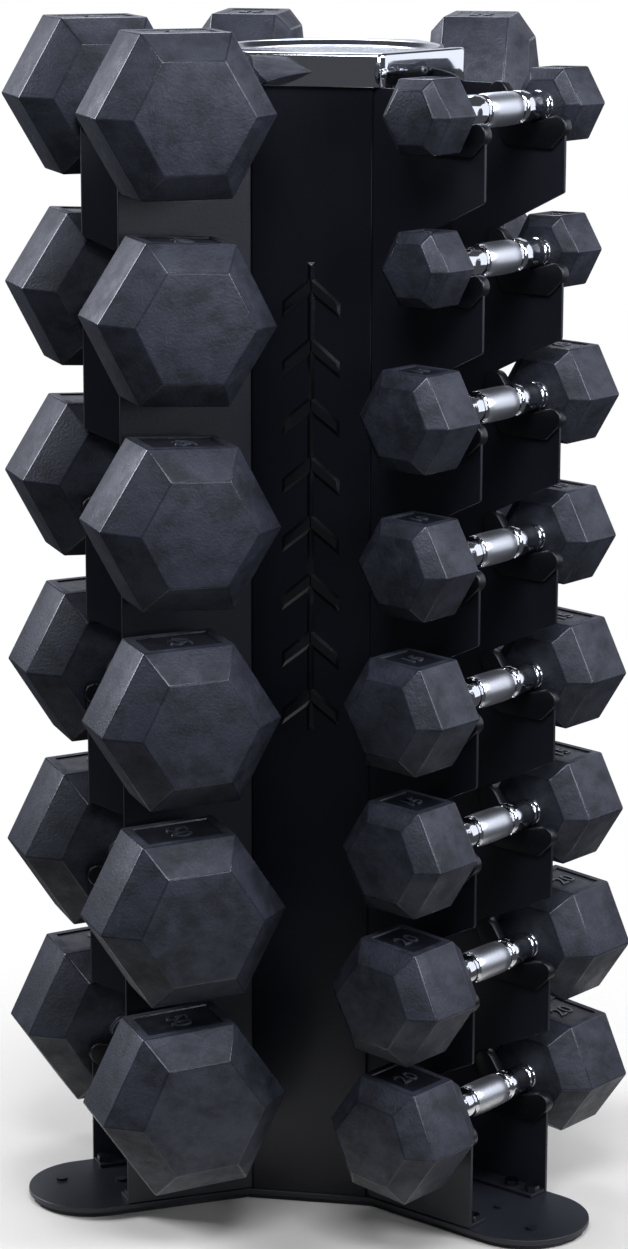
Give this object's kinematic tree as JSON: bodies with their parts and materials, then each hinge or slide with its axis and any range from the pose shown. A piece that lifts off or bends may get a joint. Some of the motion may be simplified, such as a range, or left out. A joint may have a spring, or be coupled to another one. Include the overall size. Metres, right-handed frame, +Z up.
{
  "type": "dumbbell rack",
  "caption": "Three-sided vertical dumbbell tower: notched plate wings with moulded saddles on a three-lobed base, a tray on top, loaded with hexagonal dumbbells.",
  "frame": {"origin": "on the floor under the middle of the column, in the bottom face of the rubber sole", "axes": "+Z up; the front panel faces -Y, the rear wing points along +Y, the right wing to +X -Y and the left wing to -X -Y"},
  "size_m": [0.5773, 0.5564, 1.0453],
  "materials": {
    "black_powder_coat": "satin",
    "chrome": "polished",
    "rubber_coated_iron": "matte",
    "sole_rubber": "matte",
    "zinc_plated_steel": "satin",
    "gloss_black": "gloss"
  },
  "bodies": {
    "rack": {"rubber_sole": "sole_rubber", "base_plate": "black_powder_coat", "right_sole_screw_1": "zinc_plated_steel", "right_sole_screw_2": "zinc_plated_steel", "right_wing_rear_foot_bolt_1": "zinc_plated_steel", "right_wing_rear_foot_bolt_2": "zinc_plated_steel", "right_wing_rear_plate": "black_powder_coat", "right_wing_front_foot_bolt_1": "zinc_plated_steel", "right_wing_front_foot_bolt_2": "zinc_plated_steel", "right_wing_front_plate": "black_powder_coat", "right_tray_screw": "zinc_plated_steel", "left_sole_screw_1": "zinc_plated_steel", "left_sole_screw_2": "zinc_plated_steel", "left_wing_front_foot_bolt_1": "zinc_plated_steel", "left_wing_front_foot_bolt_2": "zinc_plated_steel", "left_wing_front_plate": "black_powder_coat", "left_wing_rear_foot_bolt_1": "zinc_plated_steel", "left_wing_rear_foot_bolt_2": "zinc_plated_steel", "left_wing_rear_plate": "black_powder_coat", "left_tray_screw": "zinc_plated_steel", "rear_sole_screw_1": "zinc_plated_steel", "rear_sole_screw_2": "zinc_plated_steel", "rear_wing_left_foot_bolt_1": "zinc_plated_steel", "rear_wing_left_foot_bolt_2": "zinc_plated_steel", "rear_wing_left_plate": "black_powder_coat", "rear_wing_right_foot_bolt_1": "zinc_plated_steel", "rear_wing_right_foot_bolt_2": "zinc_plated_steel", "rear_wing_right_plate": "black_powder_coat", "rear_tray_screw": "zinc_plated_steel", "front_panel": "black_powder_coat", "right_rear_panel": "black_powder_coat", "left_rear_panel": "black_powder_coat", "front_panel_emblem": "gloss_black", "hub_top_plate": "black_powder_coat", "top_tray": "chrome"},
    "dumbbell_5_lb_upper_body": {"dumbbell_5_lb_upper": "rubber_coated_iron"},
    "dumbbell_5_lb_lower_body": {"dumbbell_5_lb_lower": "rubber_coated_iron"},
    "dumbbell_10_lb_upper_body": {"dumbbell_10_lb_upper": "rubber_coated_iron"},
    "dumbbell_10_lb_lower_body": {"dumbbell_10_lb_lower": "rubber_coated_iron"},
    "dumbbell_15_lb_upper_body": {"dumbbell_15_lb_upper": "rubber_coated_iron"},
    "dumbbell_15_lb_lower_body": {"dumbbell_15_lb_lower": "rubber_coated_iron"},
    "dumbbell_20_lb_upper_body": {"dumbbell_20_lb_upper": "rubber_coated_iron"},
    "dumbbell_20_lb_lower_body": {"dumbbell_20_lb_lower": "rubber_coated_iron"},
    "dumbbell_40_lb_upper_body": {"dumbbell_40_lb_upper": "rubber_coated_iron"},
    "dumbbell_40_lb_lower_body": {"dumbbell_40_lb_lower": "rubber_coated_iron"},
    "dumbbell_45_lb_upper_body": {"dumbbell_45_lb_upper": "rubber_coated_iron"},
    "dumbbell_45_lb_lower_body": {"dumbbell_45_lb_lower": "rubber_coated_iron"},
    "dumbbell_50_lb_upper_body": {"dumbbell_50_lb_upper": "rubber_coated_iron"},
    "dumbbell_50_lb_lower_body": {"dumbbell_50_lb_lower": "rubber_coated_iron"},
    "dumbbell_35_lb_upper_body": {"dumbbell_35_lb_upper": "rubber_coated_iron"},
    "dumbbell_35_lb_lower_body": {"dumbbell_35_lb_lower": "rubber_coated_iron"},
    "dumbbell_30_lb_upper_body": {"dumbbell_30_lb_upper": "rubber_coated_iron"},
    "dumbbell_30_lb_lower_body": {"dumbbell_30_lb_lower": "rubber_coated_iron"},
    "dumbbell_25_lb_upper_body": {"dumbbell_25_lb_upper": "rubber_coated_iron"},
    "dumbbell_25_lb_lower_body": {"dumbbell_25_lb_lower": "rubber_coated_iron"}
  },
  "joints": [
    {"name": "dumbbell_5_lb_upper_lift_off", "type": "slide", "parent": "rack", "child": "dumbbell_5_lb_upper_body", "axis": [0.8325, -0.4806, 0.2756], "range_m": [0, 0.25]},
    {"name": "dumbbell_5_lb_lower_lift_off", "type": "slide", "parent": "rack", "child": "dumbbell_5_lb_lower_body", "axis": [0.8325, -0.4806, 0.2756], "range_m": [0, 0.25]},
    {"name": "dumbbell_10_lb_upper_lift_off", "type": "slide", "parent": "rack", "child": "dumbbell_10_lb_upper_body", "axis": [0.8325, -0.4806, 0.2756], "range_m": [0, 0.25]},
    {"name": "dumbbell_10_lb_lower_lift_off", "type": "slide", "parent": "rack", "child": "dumbbell_10_lb_lower_body", "axis": [0.8325, -0.4806, 0.2756], "range_m": [0, 0.25]},
    {"name": "dumbbell_15_lb_upper_lift_off", "type": "slide", "parent": "rack", "child": "dumbbell_15_lb_upper_body", "axis": [0.8325, -0.4806, 0.2756], "range_m": [0, 0.25]},
    {"name": "dumbbell_15_lb_lower_lift_off", "type": "slide", "parent": "rack", "child": "dumbbell_15_lb_lower_body", "axis": [0.8325, -0.4806, 0.2756], "range_m": [0, 0.25]},
    {"name": "dumbbell_20_lb_upper_lift_off", "type": "slide", "parent": "rack", "child": "dumbbell_20_lb_upper_body", "axis": [0.8325, -0.4806, 0.2756], "range_m": [0, 0.25]},
    {"name": "dumbbell_20_lb_lower_lift_off", "type": "slide", "parent": "rack", "child": "dumbbell_20_lb_lower_body", "axis": [0.8325, -0.4806, 0.2756], "range_m": [0, 0.25]},
    {"name": "dumbbell_40_lb_upper_lift_off", "type": "slide", "parent": "rack", "child": "dumbbell_40_lb_upper_body", "axis": [-0.8325, -0.4806, 0.2756], "range_m": [0, 0.25]},
    {"name": "dumbbell_40_lb_lower_lift_off", "type": "slide", "parent": "rack", "child": "dumbbell_40_lb_lower_body", "axis": [-0.8325, -0.4806, 0.2756], "range_m": [0, 0.25]},
    {"name": "dumbbell_45_lb_upper_lift_off", "type": "slide", "parent": "rack", "child": "dumbbell_45_lb_upper_body", "axis": [-0.8325, -0.4806, 0.2756], "range_m": [0, 0.25]},
    {"name": "dumbbell_45_lb_lower_lift_off", "type": "slide", "parent": "rack", "child": "dumbbell_45_lb_lower_body", "axis": [-0.8325, -0.4806, 0.2756], "range_m": [0, 0.25]},
    {"name": "dumbbell_50_lb_upper_lift_off", "type": "slide", "parent": "rack", "child": "dumbbell_50_lb_upper_body", "axis": [-0.8325, -0.4806, 0.2756], "range_m": [0, 0.25]},
    {"name": "dumbbell_50_lb_lower_lift_off", "type": "slide", "parent": "rack", "child": "dumbbell_50_lb_lower_body", "axis": [-0.8325, -0.4806, 0.2756], "range_m": [0, 0.25]},
    {"name": "dumbbell_35_lb_upper_lift_off", "type": "slide", "parent": "rack", "child": "dumbbell_35_lb_upper_body", "axis": [0, 0.9613, 0.2756], "range_m": [0, 0.25]},
    {"name": "dumbbell_35_lb_lower_lift_off", "type": "slide", "parent": "rack", "child": "dumbbell_35_lb_lower_body", "axis": [0, 0.9613, 0.2756], "range_m": [0, 0.25]},
    {"name": "dumbbell_30_lb_upper_lift_off", "type": "slide", "parent": "rack", "child": "dumbbell_30_lb_upper_body", "axis": [0, 0.9613, 0.2756], "range_m": [0, 0.25]},
    {"name": "dumbbell_30_lb_lower_lift_off", "type": "slide", "parent": "rack", "child": "dumbbell_30_lb_lower_body", "axis": [0, 0.9613, 0.2756], "range_m": [0, 0.25]},
    {"name": "dumbbell_25_lb_upper_lift_off", "type": "slide", "parent": "rack", "child": "dumbbell_25_lb_upper_body", "axis": [0, 0.9613, 0.2756], "range_m": [0, 0.25]},
    {"name": "dumbbell_25_lb_lower_lift_off", "type": "slide", "parent": "rack", "child": "dumbbell_25_lb_lower_body", "axis": [0, 0.9613, 0.2756], "range_m": [0, 0.25]}
  ]
}
